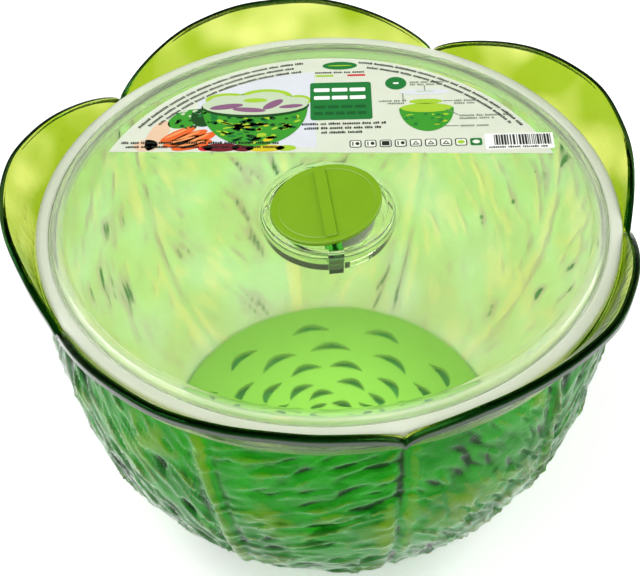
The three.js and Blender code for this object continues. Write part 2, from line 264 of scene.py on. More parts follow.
def reading(tree, name):
    """A value that the mesh carries at its points."""
    return add_node(tree, "ShaderNodeAttribute", attribute_name=name)


# ---------- Mesh helpers ----------


def piece(name, points, faces, material, smooth=True):
    """A mesh object from points in millimetres."""
    mesh = bpy.data.meshes.new(name)
    mesh.from_pydata((np.asarray(points, float) * MM).tolist(), [], faces)
    mesh.validate()
    if smooth:
        mesh.shade_smooth()
    if material:
        mesh.materials.append(material)
    thing = bpy.data.objects.new(name, mesh)
    bpy.context.scene.collection.objects.link(thing)
    return thing


def rounded(points, steps=4):
    """An outline of (x, y, corner radius) points with each corner turned into an arc."""
    out = []
    count = len(points)
    for i, (x, y, radius) in enumerate(points):
        here = np.array([x, y], float)
        if radius <= 0:
            out.append(here)
            continue
        before = np.array(points[i - 1][:2], float) - here
        after = np.array(points[(i + 1) % count][:2], float) - here
        size_before, size_after = np.linalg.norm(before), np.linalg.norm(after)
        reach = min(radius, 0.49 * size_before, 0.49 * size_after)
        start = here + before / size_before * reach
        end = here + after / size_after * reach
        for s in np.linspace(0, 1, steps + 1):
            out.append((1 - s) ** 2 * start + 2 * s * (1 - s) * here + s * s * end)
    return np.array(out)


def turned(outline, steps=144):
    """Points and faces of an outline of (radius, height) turned about Z. Radius 0 closes on the axis."""
    outline = np.asarray(outline, float)
    points, rows = [], []
    for r, z in outline:
        if r < 1e-6:
            rows.append([len(points)] * steps)
            points.append((0, 0, z))
        else:
            rows.append(list(range(len(points), len(points) + steps)))
            for i in range(steps):
                a = 2 * math.pi * i / steps
                points.append((r * math.cos(a), r * math.sin(a), z))
    closed = outline[0][0] > 1e-6
    faces = []
    count = len(rows)
    for j in range(count if closed else count - 1):
        low, high = rows[j], rows[(j + 1) % count]
        for i in range(steps):
            k = (i + 1) % steps
            face = [low[i], low[k], high[k], high[i]]
            face = list(dict.fromkeys(face))
            if len(face) > 2:
                faces.append(face)
    return points, faces


def slab(outline, low, high, bevel=0.0):
    """Points and faces of a flat plate from an outline in the XY plane, with an eased top edge."""
    outline = np.asarray(outline, float)
    count = len(outline)
    rings = [(outline, low)]
    if bevel:
        centre = outline.mean(0)
        inward = centre - outline
        inward /= np.linalg.norm(inward, axis=1)[:, None]
        rings.append((outline, high - bevel))
        rings.append((outline + inward * bevel, high))
    else:
        rings.append((outline, high))
    points, faces = [], []
    for ring, z in rings:
        points += [(x, y, z) for x, y in ring]
    for j in range(len(rings) - 1):
        for i in range(count):
            k = (i + 1) % count
            a = j * count
            faces.append([a + i, a + k, a + count + k, a + count + i])
    faces.append(list(range(count))[::-1])
    top = (len(rings) - 1) * count
    faces.append([top + i for i in range(count)])
    return points, faces


def brick(size, centre, ease=0.4):
    """Points and faces of a block with eased edges."""
    half = np.array(size, float) / 2
    corners = [
        (sx * half[0], sy * half[1], ease)
        for sx, sy in ((-1, -1), (1, -1), (1, 1), (-1, 1))
    ]
    outline = rounded(corners, 2) + np.array(centre[:2])
    return slab(outline, centre[2] - half[2], centre[2] + half[2], min(ease, half[2] / 2))


def rod_along_y(radius, start, end, x, z, steps=20):
    """Points and faces of a round pin that lies along Y."""
    points, faces = [], []
    for y in (start, end):
        for i in range(steps):
            a = 2 * math.pi * i / steps
            points.append((x + radius * math.sin(a), y, z + radius * math.cos(a)))
    for i in range(steps):
        k = (i + 1) % steps
        faces.append([i, k, steps + k, steps + i])
    faces.append(list(range(steps))[::-1])
    faces.append([steps + i for i in range(steps)])
    return points, faces


def gathered(*shapes):
    """Several shapes' points and faces as one."""
    points, faces = [], []
    for some_points, some_faces in shapes:
        start = len(points)
        points += [tuple(p) for p in some_points]
        faces += [[start + i for i in face] for face in some_faces]
    return points, faces


def moved(shape, matrix):
    """A shape's points and faces after a matrix."""
    points, faces = shape
    return [tuple(matrix @ Vector(p)) for p in points], faces


# ---------- Bowl ----------


def wall_radius(height):
    """Radius of the wall's even outer surface."""
    below = 1 - np.clip(height / SEAT_HEIGHT, 0, 1)
    return BASE_RADIUS + (WALL_RADIUS - BASE_RADIUS) * (1 - below**WALL_FULLNESS) ** WALL_STEEPNESS


def rim_at(azimuth):
    """Radius and height of the rim's middle line, and how far across its petal each azimuth is."""
    across = ((azimuth - FIRST_NOTCH) % (360 / PETALS)) / (360 / PETALS)
    wave = np.sin(np.pi * across)
    radius = SEAT_EDGE + RIM_THICKNESS / 2 + PETAL_FLARE * wave**1.2
    height = SEAT_HEIGHT + NOTCH_HEIGHT + PETAL_RISE * wave**0.62
    return radius, height, across


def smooth_noise(x, y, seed):
    """Smooth random values from -1 to 1 over a plane, on a lattice of unit squares."""
    lattice = np.random.default_rng(seed).uniform(-1, 1, (64, 64))
    x0, y0 = np.floor(x).astype(int), np.floor(y).astype(int)
    fx, fy = x - x0, y - y0
    fx, fy = fx * fx * (3 - 2 * fx), fy * fy * (3 - 2 * fy)
    corner = lambda i, j: lattice[(x0 + i) % 64, (y0 + j) % 64]
    low = corner(0, 0) * (1 - fx) + corner(1, 0) * fx
    high = corner(0, 1) * (1 - fx) + corner(1, 1) * fx
    return low * (1 - fy) + high * fy


# Lean of the creases from the horizontal, left and right of each leaf's midrib, in degrees
VEIN_LEANS = [(62, 20), (52, 40), (68, 58), (62, 60), (72, 66)]


def leaf_relief(azimuth, height, radius, sizes):
    """How far the outer wall stands out of its even surface, in millimetres, on a grid of points."""
    pitch = 360 / PETALS
    turned_by = (azimuth - FIRST_NOTCH) % 360
    leaf = np.floor(turned_by / pitch).astype(int)
    across = turned_by / pitch - leaf
    side = np.radians((across - 0.5) * pitch) * radius
    # the midrib wanders a little, and is broad at the foot
    wander = side - 3.5 * np.sin(height / 30 + leaf)
    relief = 0.9 * np.exp(-((wander / 2.6) ** 2))
    relief -= 0.45 * np.exp(-((np.abs(wander) - 4.6) ** 2) / 3)
    # seams between leaves: one leaf's edge laps over the next
    edge = np.minimum(across, 1 - across) * np.radians(pitch) * radius
    relief -= 0.7 * np.exp(-((edge / 1.6) ** 2))
    relief += 0.45 * np.exp(-(((edge - 4) / 2.4) ** 2))
    # slow swells of the leaf's blade
    relief += 0.55 * smooth_noise(side / 17 + 7 * leaf, height / 20, 3)
    relief += 0.3 * smooth_noise(side / 7 + 5 * leaf, height / 9, 4)
    # long veins that fan out from the midrib, broken here and there
    lean = np.radians(np.array(VEIN_LEANS, float))
    slope = np.tan(np.where(side < 0, lean[leaf, 0], lean[leaf, 1]))
    along = height - slope * np.abs(side) + 4 * smooth_noise(side / 14, height / 14, 5)
    spacing = 9 * np.maximum(1, slope * 0.8)
    phase = (along / spacing) % 1
    crest = (1 - np.abs(2 * phase - 1)) ** 4
    broken = np.clip(0.35 + 0.9 * smooth_noise(side / 11 + 3 * leaf, height / 8, 6), 0, 1)
    relief += 0.75 * crest * broken
    # short creases, pressed in or raised
    rng = np.random.default_rng(11)
    for k in range(PETALS):
        for _ in range(sizes.strokes):
            middle = rng.uniform(0.03, 0.97)
            up = 4 + 122 * rng.uniform() ** 0.85
            long_half = rng.uniform(4, 12)
            wide = rng.uniform(0.65, 1.3)
            depth = rng.choice([-1, -1, -1, 1]) * rng.uniform(0.35, 1.0)
            tilt = VEIN_LEANS[k][0 if middle < 0.5 else 1] + rng.normal(0, 9)
            bend = rng.normal(0, 0.02)
            if middle < 0.5:
                tilt = 180 - tilt
            centre = FIRST_NOTCH + (k + middle) * pitch
            swing = (azimuth[:, 0] - centre + 180) % 360 - 180
            columns = np.where(np.abs(swing) < 13)[0]
            rows = np.where(np.abs(height[0] - up) < long_half + 3)[0]
            if not len(columns) or not len(rows):
                continue
            part = np.ix_(columns, rows)
            dx = np.radians(swing[columns])[:, None] * radius[part]
            dy = height[part] - up
            c, s = math.cos(math.radians(tilt)), math.sin(math.radians(tilt))
            run = dx * c + dy * s
            off = -dx * s + dy * c - bend * run**2
            taper = np.clip(1 - (run / long_half) ** 2, 0, 1)
            relief[part] += depth * taper * np.exp(-((off / (wide * (0.35 + taper * 0.65))) ** 2))
    # fades at the foot and below the rim
    fade = np.clip((height - 1) / 6, 0, 1) * np.clip((SEAT_HEIGHT - JOG_DROP - height) / 5, 0, 1)
    return relief * fade * sizes.relief


def outer_wall_line(count):
    """Heights that divide the outer wall's curve into equal lengths."""
    z = np.linspace(0, 1, 4000) ** 2 * (SEAT_HEIGHT - JOG_DROP)
    r = wall_radius(z)
    length = np.concatenate([[0], np.cumsum(np.hypot(np.diff(r), np.diff(z)))])
    return np.interp(np.linspace(0, length[-1], count), length, z)


def petal_face(start, end):
    """Twelve points inside a curve that leaves start flat and rises to end, without its ends."""
    control = (start[0] + 0.36 * (end[0] - start[0]), start[1] + 0.55 * (end[1] - start[1]))
    s = np.linspace(0, 1, 14)[1:-1]
    weights = (1 - s) ** 2, 2 * s * (1 - s), s**2
    return [
        tuple(w0 * a + w1 * b + w2 * c for a, b, c in zip(start, control, end))
        for w0, w1, w2 in zip(*weights)
    ]


# Regions of the bowl's surface, as the mesh carries them
UNDER, WALL, PETAL, RIM, INSIDE, INSIDE_FLOOR = range(6)


def bowl_points(sizes):
    """The bowl's surface: an array of points round the axis and along its section."""
    steps = sizes.steps_round
    azimuth = FIRST_NOTCH + 360 * np.arange(steps) / steps
    rim_radius, rim_height, across = rim_at(azimuth)
    wave = np.sin(np.pi * across)
    # each petal leans and ruffles a little differently
    ruffle = smooth_noise(azimuth / 9, azimuth * 0, 21)
    rim_radius = rim_radius + 0.5 * ruffle * wave
    rim_height = rim_height + 0.6 * smooth_noise(azimuth / 11, azimuth * 0 + 3, 22) * wave
    one = np.ones(steps)
    columns = []
    regions = []

    def add(r, z):
        columns.append((r * one, z * one))

    def mark(region):
        regions.extend([region] * (len(columns) - len(regions)))

    # underside: flat, with a rounded foot
    for r in (20, 40, BASE_RADIUS - 4):
        add(r, 0)
    mark(UNDER)
    heights = outer_wall_line(104)
    wall = np.tile(heights, (steps, 1))
    radii = wall_radius(wall)
    relief = leaf_relief(np.tile(azimuth[:, None], (1, len(heights))), wall, radii, sizes)
    slope_r = np.gradient(wall_radius(heights), heights + 1e-9, edge_order=1)
    slope_r[0] = slope_r[1]
    normal_r = 1 / np.hypot(1, slope_r)
    normal_z = -slope_r / np.hypot(1, slope_r)
    for j in range(len(heights)):
        rise = np.maximum(wall[:, j] + relief[:, j] * normal_z[j], 0)
        columns.append((radii[:, j] + relief[:, j] * normal_r[j], rise))
    wall_columns = slice(len(regions), len(columns))
    mark(WALL)
    # outer step
    jog = SEAT_HEIGHT - JOG_DROP
    step_edge = SEAT_EDGE + RIM_THICKNESS - 0.6
    step_top = jog + JOG_RISE
    add(step_edge - 1.4, jog + 0.35)
    add(step_edge - 0.5, jog + 0.8)
    add(step_edge - 0.1, jog + 1.3)
    add(step_edge, step_top)
    mark(PETAL)
    # outer face of the petal, with slow waves
    half = RIM_THICKNESS / 2
    top_out = (rim_radius + half, rim_height - 0.45)
    for j, (r, z) in enumerate(petal_face((step_edge * one, step_top * one), top_out)):
        swell = 0.35 * smooth_noise(azimuth / 6, z / 7, 23) * wave * math.sin(math.pi * (j + 1) / 13)
        columns.append((r + swell, z))
    mark(PETAL)
    # rim: flat top with eased edges
    columns.append((rim_radius + half + 0.05, rim_height - RIM_STRIP))
    for dr, dz in ((half, -0.45), (half - 0.12, -0.15), (half - 0.45, 0), (0, 0.03)):
        columns.append((rim_radius + dr, rim_height + dz))
    mark(RIM)
    for dr, dz in ((0.45 - half, 0), (0.12 - half, -0.15), (-half, -0.45)):
        columns.append((rim_radius + dr, rim_height + dz))
    # inner face of the petal, down to the ledge
    top_in = (rim_radius - half, rim_height - 0.45)
    foot = (SEAT_EDGE * one, (SEAT_HEIGHT + 0.5) * one)
    mark(PETAL)
    for j, (r, z) in enumerate(petal_face(foot, top_in)[::-1]):
        swell = 0.3 * smooth_noise(azimuth / 7, z / 8, 24) * wave * math.sin(math.pi * (j + 1) / 13)
        columns.append((r + swell, z))
    add(SEAT_EDGE, SEAT_HEIGHT + 0.4)
    add(SEAT_EDGE - 0.15, SEAT_HEIGHT + 0.1)
    add(SEAT_EDGE - 0.5, SEAT_HEIGHT)
    inside_top = WALL_RADIUS - BOWL_WALL
    add(inside_top + 0.7, SEAT_HEIGHT)
    add(inside_top + 0.15, SEAT_HEIGHT - 0.2)
    mark(PETAL)
    # inner wall, smooth to the hand; its first ring keeps the two looks apart
    add(inside_top + 0.1, SEAT_HEIGHT - 0.25)
    mark(INSIDE)
    inner_start = len(columns)
    inner_heights = outer_wall_line(46)[::-1]
    inner_heights = BOWL_FLOOR + inner_heights * (SEAT_HEIGHT - 0.8 - BOWL_FLOOR) / inner_heights[0]
    for z in inner_heights[:-1]:
        drift = 0.12 * smooth_noise(azimuth / 12, z / 16 + 0 * azimuth, 25)
        add_r = wall_radius(z) - BOWL_WALL
        columns.append((add_r + drift, z * one))
    mark(INSIDE)
    add(BASE_RADIUS + 1.5, BOWL_FLOOR + 0.1)
    for r in (BASE_RADIUS - 2, 40, 20):
        add(r, BOWL_FLOOR)
    mark(INSIDE_FLOOR)
    r = np.array([c[0] for c in columns]).T
    z = np.array([c[1] for c in columns]).T
    a = np.radians(azimuth)[:, None]
    depth = np.zeros(r.shape)
    depth[:, wall_columns] = relief
    inner_wall = slice(inner_start, inner_start + len(inner_heights) - 1)
    for i in range(steps):
        depth[i, inner_wall] = np.interp(inner_heights[:-1], heights, relief[i])
    region = np.tile(np.array(regions, float), (steps, 1))
    return np.stack([r * np.cos(a), r * np.sin(a), z], axis=-1), region, depth


def leaf_plastic(colours):
    """Transparent green styrene-acrylonitrile, injection moulded.

    It is glossy and clear. The petals tint light yellow-green and the veined wall a deeper green.
    Creases are painted near black as painted shade and thin crests pale yellow-green as a painted
    highlight;
    the rim is painted near black as painted shade, standing for the dark it has because light reaches it
    only through a long way of plastic. The inside is faintly hazy. The IOR is below the plastic's own,
    about 1.57, so that less white light hides the depth of the green.
    """
    material, tree, shader, output = new_material("clear green SAN, moulded")
    place = place_mm(tree)

    def only(code):
        region = reading(tree, "region").outputs["Fac"]
        node = add_node(tree, "ShaderNodeMath", {0: region}, operation="COMPARE")
        node.inputs[1].default_value = code
        node.inputs[2].default_value = 0.45
        return node.outputs[0]

    def blend(factor, low, high):
        node = add_node(tree, "ShaderNodeMix", {"Factor": factor}, data_type="RGBA")
        for socket, value in ((6, low), (7, high)):
            if isinstance(value, (list, tuple)):
                node.inputs[socket].default_value = value
            else:
                tree.links.new(value, node.inputs[socket])
        return node.outputs[2]

    def ramp(value, low, high):
        return add_node(tree, "ShaderNodeMapRange", {0: value}, From_Min=low, From_Max=high).outputs[0]

    depth = reading(tree, "depth").outputs["Fac"]
    # petals: pale clouds in the yellow-green, 30 mm across
    clouds = ramp(noise(tree, place, 30, 1), 0.42, 0.66)
    petal = blend(clouds, linear(colours.petal), linear("#ECECA8"))
    # wall: slow change of green, then a painted highlight on the crests and painted shade in the creases
    drifts = ramp(noise(tree, place, 22, 3), 0.4, 0.65)
    wall = blend(drifts, linear(colours.wall), linear("#05A012"))
    # painted highlight: raised crests made paler yellow-green
    wall = blend(ramp(depth, 0.3, 1.2), wall, linear("#CFEA32"))
    # painted shade: pressed creases made near black
    wall = blend(ramp(depth, -0.2, -0.8), wall, linear("#010D02"))
    colour = blend(only(WALL), petal, wall)
    colour = blend(only(UNDER), colour, linear("#1CB430"))
    # painted shade: the rim and the strip below its top get a near-black colour for the dark of the thick
    # rim
    colour = blend(only(RIM), colour, linear("#041206"))
    inside = blend(clouds, linear("#F6EEC0"), linear("#FFFBE6"))
    # painted shade: the deepest creases of the outer face are painted onto the inner face as darker green
    # strokes
    inside = blend(ramp(depth, -0.9, -1.5), inside, linear("#4E9A4A"))
    colour = blend(only(INSIDE), colour, inside)
    colour = blend(only(INSIDE_FLOOR), colour, linear("#7FE070"))
    tree.links.new(colour, shader.inputs["Base Color"])
    # clear everywhere, less the haze of the inner wall and of the floor
    wall_haze = add_node(tree, "ShaderNodeMath", {0: only(INSIDE)}, operation="MULTIPLY_ADD")
    wall_haze.inputs[1].default_value = -0.52
    wall_haze.inputs[2].default_value = 1.0
    links = {0: only(INSIDE_FLOOR), 2: wall_haze.outputs[0]}
    clear = add_node(tree, "ShaderNodeMath", links, operation="MULTIPLY_ADD")
    clear.inputs[1].default_value = -0.3
    tree.links.new(clear.outputs[0], shader.inputs["Transmission Weight"])
    fine = noise(tree, place, 2.2, 3)
    tree.links.new(spread(tree, fine, 0.015, 0.05), shader.inputs["Roughness"])
    tree.links.new(bump(tree, noise(tree, place, 3.5, 4), 0.25, 0.8), shader.inputs["Normal"])
    shader.inputs["IOR"].default_value = 1.32
    shader.inputs["Specular Tint"].default_value = (0.06, 1.0, 0.1, 1.0)
    absorption = add_node(tree, "ShaderNodeVolumeAbsorption", Density=340.0)
    absorption.inputs["Color"].default_value = (0.642, 0.757, 0.002, 1.0)
    tree.links.new(absorption.outputs[0], output.inputs["Volume"])
    return material


class KEEPER_OT_bowl(bpy.types.Operator):
    """Makes the leaf-shaped bowl with its five petals, veins and lid ledge"""

    bl_idname = "keeper.bowl"
    bl_label = "Make the bowl"

    def execute(self, context):
        sizes = context.scene.keeper_sizes
        grid, region, depth = bowl_points(sizes)
        steps, count = grid.shape[:2]
        points = grid.reshape(-1, 3).tolist()
        faces = []
        for i in range(steps):
            a, b = i * count, ((i + 1) % steps) * count
            for j in range(count - 1):
                faces.append([a + j, b + j, b + j + 1, a + j + 1])
        underside, floor = len(points), len(points) + 1
        points += [(0, 0, 0), (0, 0, BOWL_FLOOR)]
        for i in range(steps):
            a, b = i * count, ((i + 1) % steps) * count
            faces.append([underside, b, a])
            faces.append([a + count - 1, b + count - 1, floor])
        bowl = piece("leaf_bowl", points, faces, leaf_plastic(context.scene.keeper_colours))
        for name, values, ends in (
            ("region", region, (UNDER, INSIDE_FLOOR)),
            ("depth", depth, (0, 0)),
        ):
            carried = bowl.data.attributes.new(name, "FLOAT", "POINT")
            carried.data.foreach_set("value", np.append(values.ravel(), ends).astype(np.float32))
        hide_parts("bowl")
        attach(bowl, "bowl")
        return {"FINISHED"}


# ---------- Drain grid ----------


def grid_plastic(colours):
    """Opaque polypropylene, moulded against a finely eroded steel: even colour and a soft matte."""
    name = "opaque green polypropylene, moulded"
    tones = linear(colours.grid), linear("#86BE48")
    return mottled(name, (30, 2), *tones, (0.7, 2), (0.42, 0.6), (0.7, 2, 0.05, 0.5), IOR=1.49)


class KEEPER_OT_grid(bpy.types.Operator):
    """Finishes the slotted drain grid"""

    bl_idname = "keeper.grid"
    bl_label = "Finish the drain grid"

    def execute(self, context):
        node = frame["nodes"]["drain_grid"]
        node.data.materials.clear()
        node.data.materials.append(grid_plastic(context.scene.keeper_colours))
        return {"FINISHED"}


# ---------- Lid ----------

YOKE_REACH = 24.4
AIR_OPENING = 15.8  # radius of the half-round opening
AIR_OPENING_EDGE = 4.8  # its straight side, from the lid's axis
PANEL_THICKNESS = 2.2
WELL_FLOOR = 2
COLLAR_OUTER, COLLAR_INNER = 25.6, 23.2
MILKY_FROM, MILKY_TO = 103.5, 107.5  # radii where the panel turns milky


def lid_plastic():
    """Clear polystyrene, moulded and polished, with the faint milkiness of a thick food lid."""
    name = "clear polystyrene, moulded"
    tones = linear("#EFF9E2"), linear("#FAFFF2")
    material = mottled(name, (45, 2), *tones, (6, 3), (0.02, 0.06), (25, 2, 0.15, 0.4), IOR=1.5)
    tree = material.node_tree
    # the thick ring at the edge looks milkier than the flat panel
    split = add_node(tree, "ShaderNodeSeparateXYZ", {0: place_mm(tree)})
    flat = add_node(tree, "ShaderNodeCombineXYZ", {"X": split.outputs["X"], "Y": split.outputs["Y"]})
    away = add_node(tree, "ShaderNodeVectorMath", {0: flat.outputs[0]}, operation="LENGTH").outputs["Value"]
    edge = add_node(
        tree,
        "ShaderNodeMapRange",
        {0: away},
        From_Min=MILKY_FROM,
        From_Max=MILKY_TO,
        To_Min=0.98,
        To_Max=0.66,
    )
    shader = tree.nodes["Principled BSDF"]
    tree.links.new(edge.outputs[0], shader.inputs["Transmission Weight"])
    return material


def seal_rubber():
    """Milky thermoplastic elastomer, moulded: soft, satin and a little see-through."""
    tones = linear("#EAF3DA"), linear("#F6FAEA")
    look = {"Transmission Weight": 0.3, "IOR": 1.4}
    return mottled("milky TPE, moulded", (20, 3), *tones, (2, 3), (0.28, 0.42), **look)


def lid_outline():
    """The lid's section, from under the well out to the flange and back over the panel.

    Points beside each rounded corner keep the wide faces flat, so they don't bend the view.
    """
    panel_under = PANEL_TOP - PANEL_THICKNESS
    spigot_outer = LID_RADIUS - 6
    spigot_inner = spigot_outer - 1.7
    flange_under = SEAL_LOW.z + 2.3
    well_top = WELL_UNDERSIDE + WELL_FLOOR
    return rounded(
        [
            (0, WELL_UNDERSIDE, 0),
            (COLLAR_OUTER - 1.4, WELL_UNDERSIDE, 0),
            (COLLAR_OUTER, WELL_UNDERSIDE, 0.8),
            (COLLAR_OUTER, panel_under, 1.2),
            (COLLAR_OUTER + 2.2, panel_under, 0),
            (60, panel_under, 0),
            (90, panel_under, 0),
            (spigot_inner - 2.8, panel_under, 0),
            (spigot_inner, panel_under, 1.6),
            (spigot_inner, flange_under - 5, 0.5),
            (spigot_outer, flange_under - 5, 0.5),
            (spigot_outer, flange_under, 0.5),
            (FLANGE_RADIUS, flange_under, 0.3),
            (FLANGE_RADIUS, flange_under + 1.6, 0.4),
            (spigot_outer + 0.3, flange_under + 1.6, 0.7),
            (spigot_outer - 0.9, PANEL_TOP + 0.5, 1.4),
            (spigot_inner - 2.4, PANEL_TOP + 0.5, 1.6),
            (spigot_inner - 3.6, PANEL_TOP, 0.8),
            (spigot_inner - 5, PANEL_TOP, 0),
            (90, PANEL_TOP, 0),
            (60, PANEL_TOP, 0),
            (COLLAR_OUTER + 4.2, PANEL_TOP, 0),
            (COLLAR_OUTER + 2.6, PANEL_TOP, 0.8),
            (COLLAR_OUTER + 0.2, PANEL_TOP + 0.4, 0.8),
            (COLLAR_OUTER, COLLAR_TOP, 0.7),
            (COLLAR_INNER, COLLAR_TOP, 0.6),
            (COLLAR_INNER, well_top, 0.8),
            (COLLAR_INNER - 1.4, well_top, 0),
            (0, well_top, 0),
        ]
    )


class KEEPER_OT_lid(bpy.types.Operator):
    """Makes the clear lid panel and its soft milky seal"""

    bl_idname = "keeper.lid"
    bl_label = "Make the lid"

    def execute(self, context):
        points, faces = turned(lid_outline(), 180)
        panel = piece("clear_lid", points, faces, lid_plastic())
        # half-round air opening, and slots for the yoke's legs
        half = math.acos(AIR_OPENING_EDGE / AIR_OPENING)
        turns = np.linspace(-half, half, 24)
        mouth = [(AIR_OPENING * math.cos(a), AIR_OPENING * math.sin(a)) for a in turns]
        low, high = WELL_UNDERSIDE - 1, COLLAR_TOP + 1
        cuts = [slab(mouth, low, WELL_UNDERSIDE + 3)]
        for side in (-1, 1):
            y = side * (YOKE_REACH - 2)
            corners = [(-3.1, y - 2.3), (3.1, y - 2.3), (3.1, y + 2.3), (-3.1, y + 2.3)]
            cuts.append(slab(corners, low, high))
        turn = Matrix.Rotation(LID_TURN, 4, "Z")
        cutter = piece("cutter", *moved(gathered(*cuts), turn), None)
        cut = panel.modifiers.new("openings", "BOOLEAN")
        cut.operation, cut.object, cut.solver = "DIFFERENCE", cutter, "EXACT"
        depsgraph = context.evaluated_depsgraph_get()
        finished = bpy.data.meshes.new_from_object(panel.evaluated_get(depsgraph))
        panel.modifiers.clear()
        panel.data = finished
        bpy.data.objects.remove(cutter)
        finished.set_sharp_from_angle(angle=math.radians(40))
        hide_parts("lid_panel")
        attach(panel, "lid")
        inner = LID_RADIUS - 5.5
        high = SEAL_LOW.z + 4.2
        outline = rounded(
            [
                (inner, SEAL_LOW.z, 0.5),
                (LID_RADIUS - 0.5, SEAL_LOW.z, 0.8),
                (LID_RADIUS, SEAL_LOW.z + 2, 0.8),
                (LID_RADIUS, high, 0.9),
                (LID_RADIUS - 1.6, high + 0.8, 0.9),
                (inner + 1.2, high + 0.8, 0.7),
                (inner + 0.3, high, 0.2),
                (FLANGE_RADIUS + GAP, high, 0.1),
                (FLANGE_RADIUS + GAP, high - 2.2, 0.1),
                (inner, high - 2.2, 0.2),
            ]
        )
        points, faces = turned(outline, 180)
        seal = piece("milky_seal", points, faces, seal_rubber())
        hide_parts("lid_seal")
        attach(seal, "lid")
        return {"FINISHED"}


# ---------- Label ----------


def film_print(name, colour, **settings):
    """Printing ink on polypropylene film: an even colour with a soft sheen and a slight mottle."""
    base = linear(colour)
    dimmed = [c * 0.9 for c in base[:3]] + [1.0]
    return mottled(name, (6, 3), dimmed, base, (1.2, 2), (0.3, 0.42), **settings)


INKS = {
    "white": "#FBFDF6",
    "leaf_green": "#1F7A35",
    "deep_green": "#145E28",
    "black": "#20281F",
    "grey": "#7C8A78",
    "mist": "#DCE1E6",
    "peach": "#E9C8A6",
    "orange": "#E8682C",
    "light_orange": "#F49A5C",
    "wine": "#6E1F27",
    "red": "#CF2A30",
    "yellow": "#D8C626",
    "lime": "#A6CE34",
    "mid_green": "#3C9A2B",
    "pale_green": "#C6D8B6",
    "plum": "#8C6080",
    "dark_leaf": "#1B4A1C",
    "cream": "#F2F7E6",
}
LAYER = 0.035
FILM_RADIUS = 96.5
FILM_EDGE = 34
FILM_TURN = math.radians(90 - 2.3)


def disc_outline(x, y, rx, ry, lean=0.0, count=28, start=0.0, end=360.0):
    """An ellipse, or a part of one, leaning by so many degrees."""
    out = []
    for a in np.radians(np.linspace(start, end, count, endpoint=end - start < 360)):
        u, v = rx * math.cos(a), ry * math.sin(a)
        c, t = math.cos(math.radians(lean)), math.sin(math.radians(lean))
        out.append((x + u * c - v * t, y + u * t + v * c))
    return out


def bar_outline(x0, y0, x1, y1, corner=0.0):
    """An upright rectangle with round corners."""
    corners = [(x0, y0, corner), (x1, y0, corner), (x1, y1, corner), (x0, y1, corner)]
    return rounded(corners, 4)


def line_outline(x0, y0, x1, y1, width):
    """A thin straight line."""
    run = np.array([x1 - x0, y1 - y0], float)
    side = np.array([-run[1], run[0]]) / np.linalg.norm(run) * width / 2
    start, end = np.array([x0, y0]), np.array([x1, y1])
    return [start - side, end - side, end + side, start + side]


class Print:
    """Flat shapes gathered by ink, each on its own thin layer."""

    def __init__(self, base):
        self.base = base
        self.shapes = {}

    def add(self, ink, outline, layer):
        """Adds a flat shape on a layer, counted from the film up."""
        low = self.base + (layer - 1) * LAYER + 0.004
        self.shapes.setdefault(ink, []).append(slab(outline, low, low + LAYER * 0.8))

    def disc(self, ink, layer, *shape):
        """Adds what disc_outline draws."""
        self.add(ink, disc_outline(*shape), layer)

    def bar(self, ink, layer, *shape):
        """Adds what bar_outline draws."""
        self.add(ink, bar_outline(*shape), layer)

    def dashes(self, ink, x0, x1, y, height, rng, layer=4, slope=0.0):
        """A row of short upright dashes in word-like groups, standing for lines of small print."""
        x = x0
        while x < x1:
            for _ in range(rng.integers(3, 9)):
                wide = rng.uniform(0.4, 0.8)
                if x + wide > x1:
                    return
                up = height * rng.uniform(0.7, 1.0)
                at = y + (x - x0) * slope
                self.add(ink, bar_outline(x, at, x + wide, at + up), layer)
                x += wide + 0.28
            x += 0.8

    def arc_dashes(self, ink, radius, start, end, height, rng, layer=4):
        """The same along an arc, read clockwise."""
        angle = start
        while angle > end:
            for _ in range(rng.integers(4, 11)):
                step = math.degrees(rng.uniform(0.45, 0.8) / radius)
                if angle - step < end:
                    return
                a, b = math.radians(angle), math.radians(angle - step)
                up = radius + height * rng.uniform(0.7, 1.0)
                corners = [(radius, a), (radius, b), (up, b), (up, a)]
                self.add(ink, [(r * math.cos(t), r * math.sin(t)) for r, t in corners][::-1], layer)
                angle -= step + math.degrees(0.3 / radius)
            angle -= math.degrees(0.8 / radius)


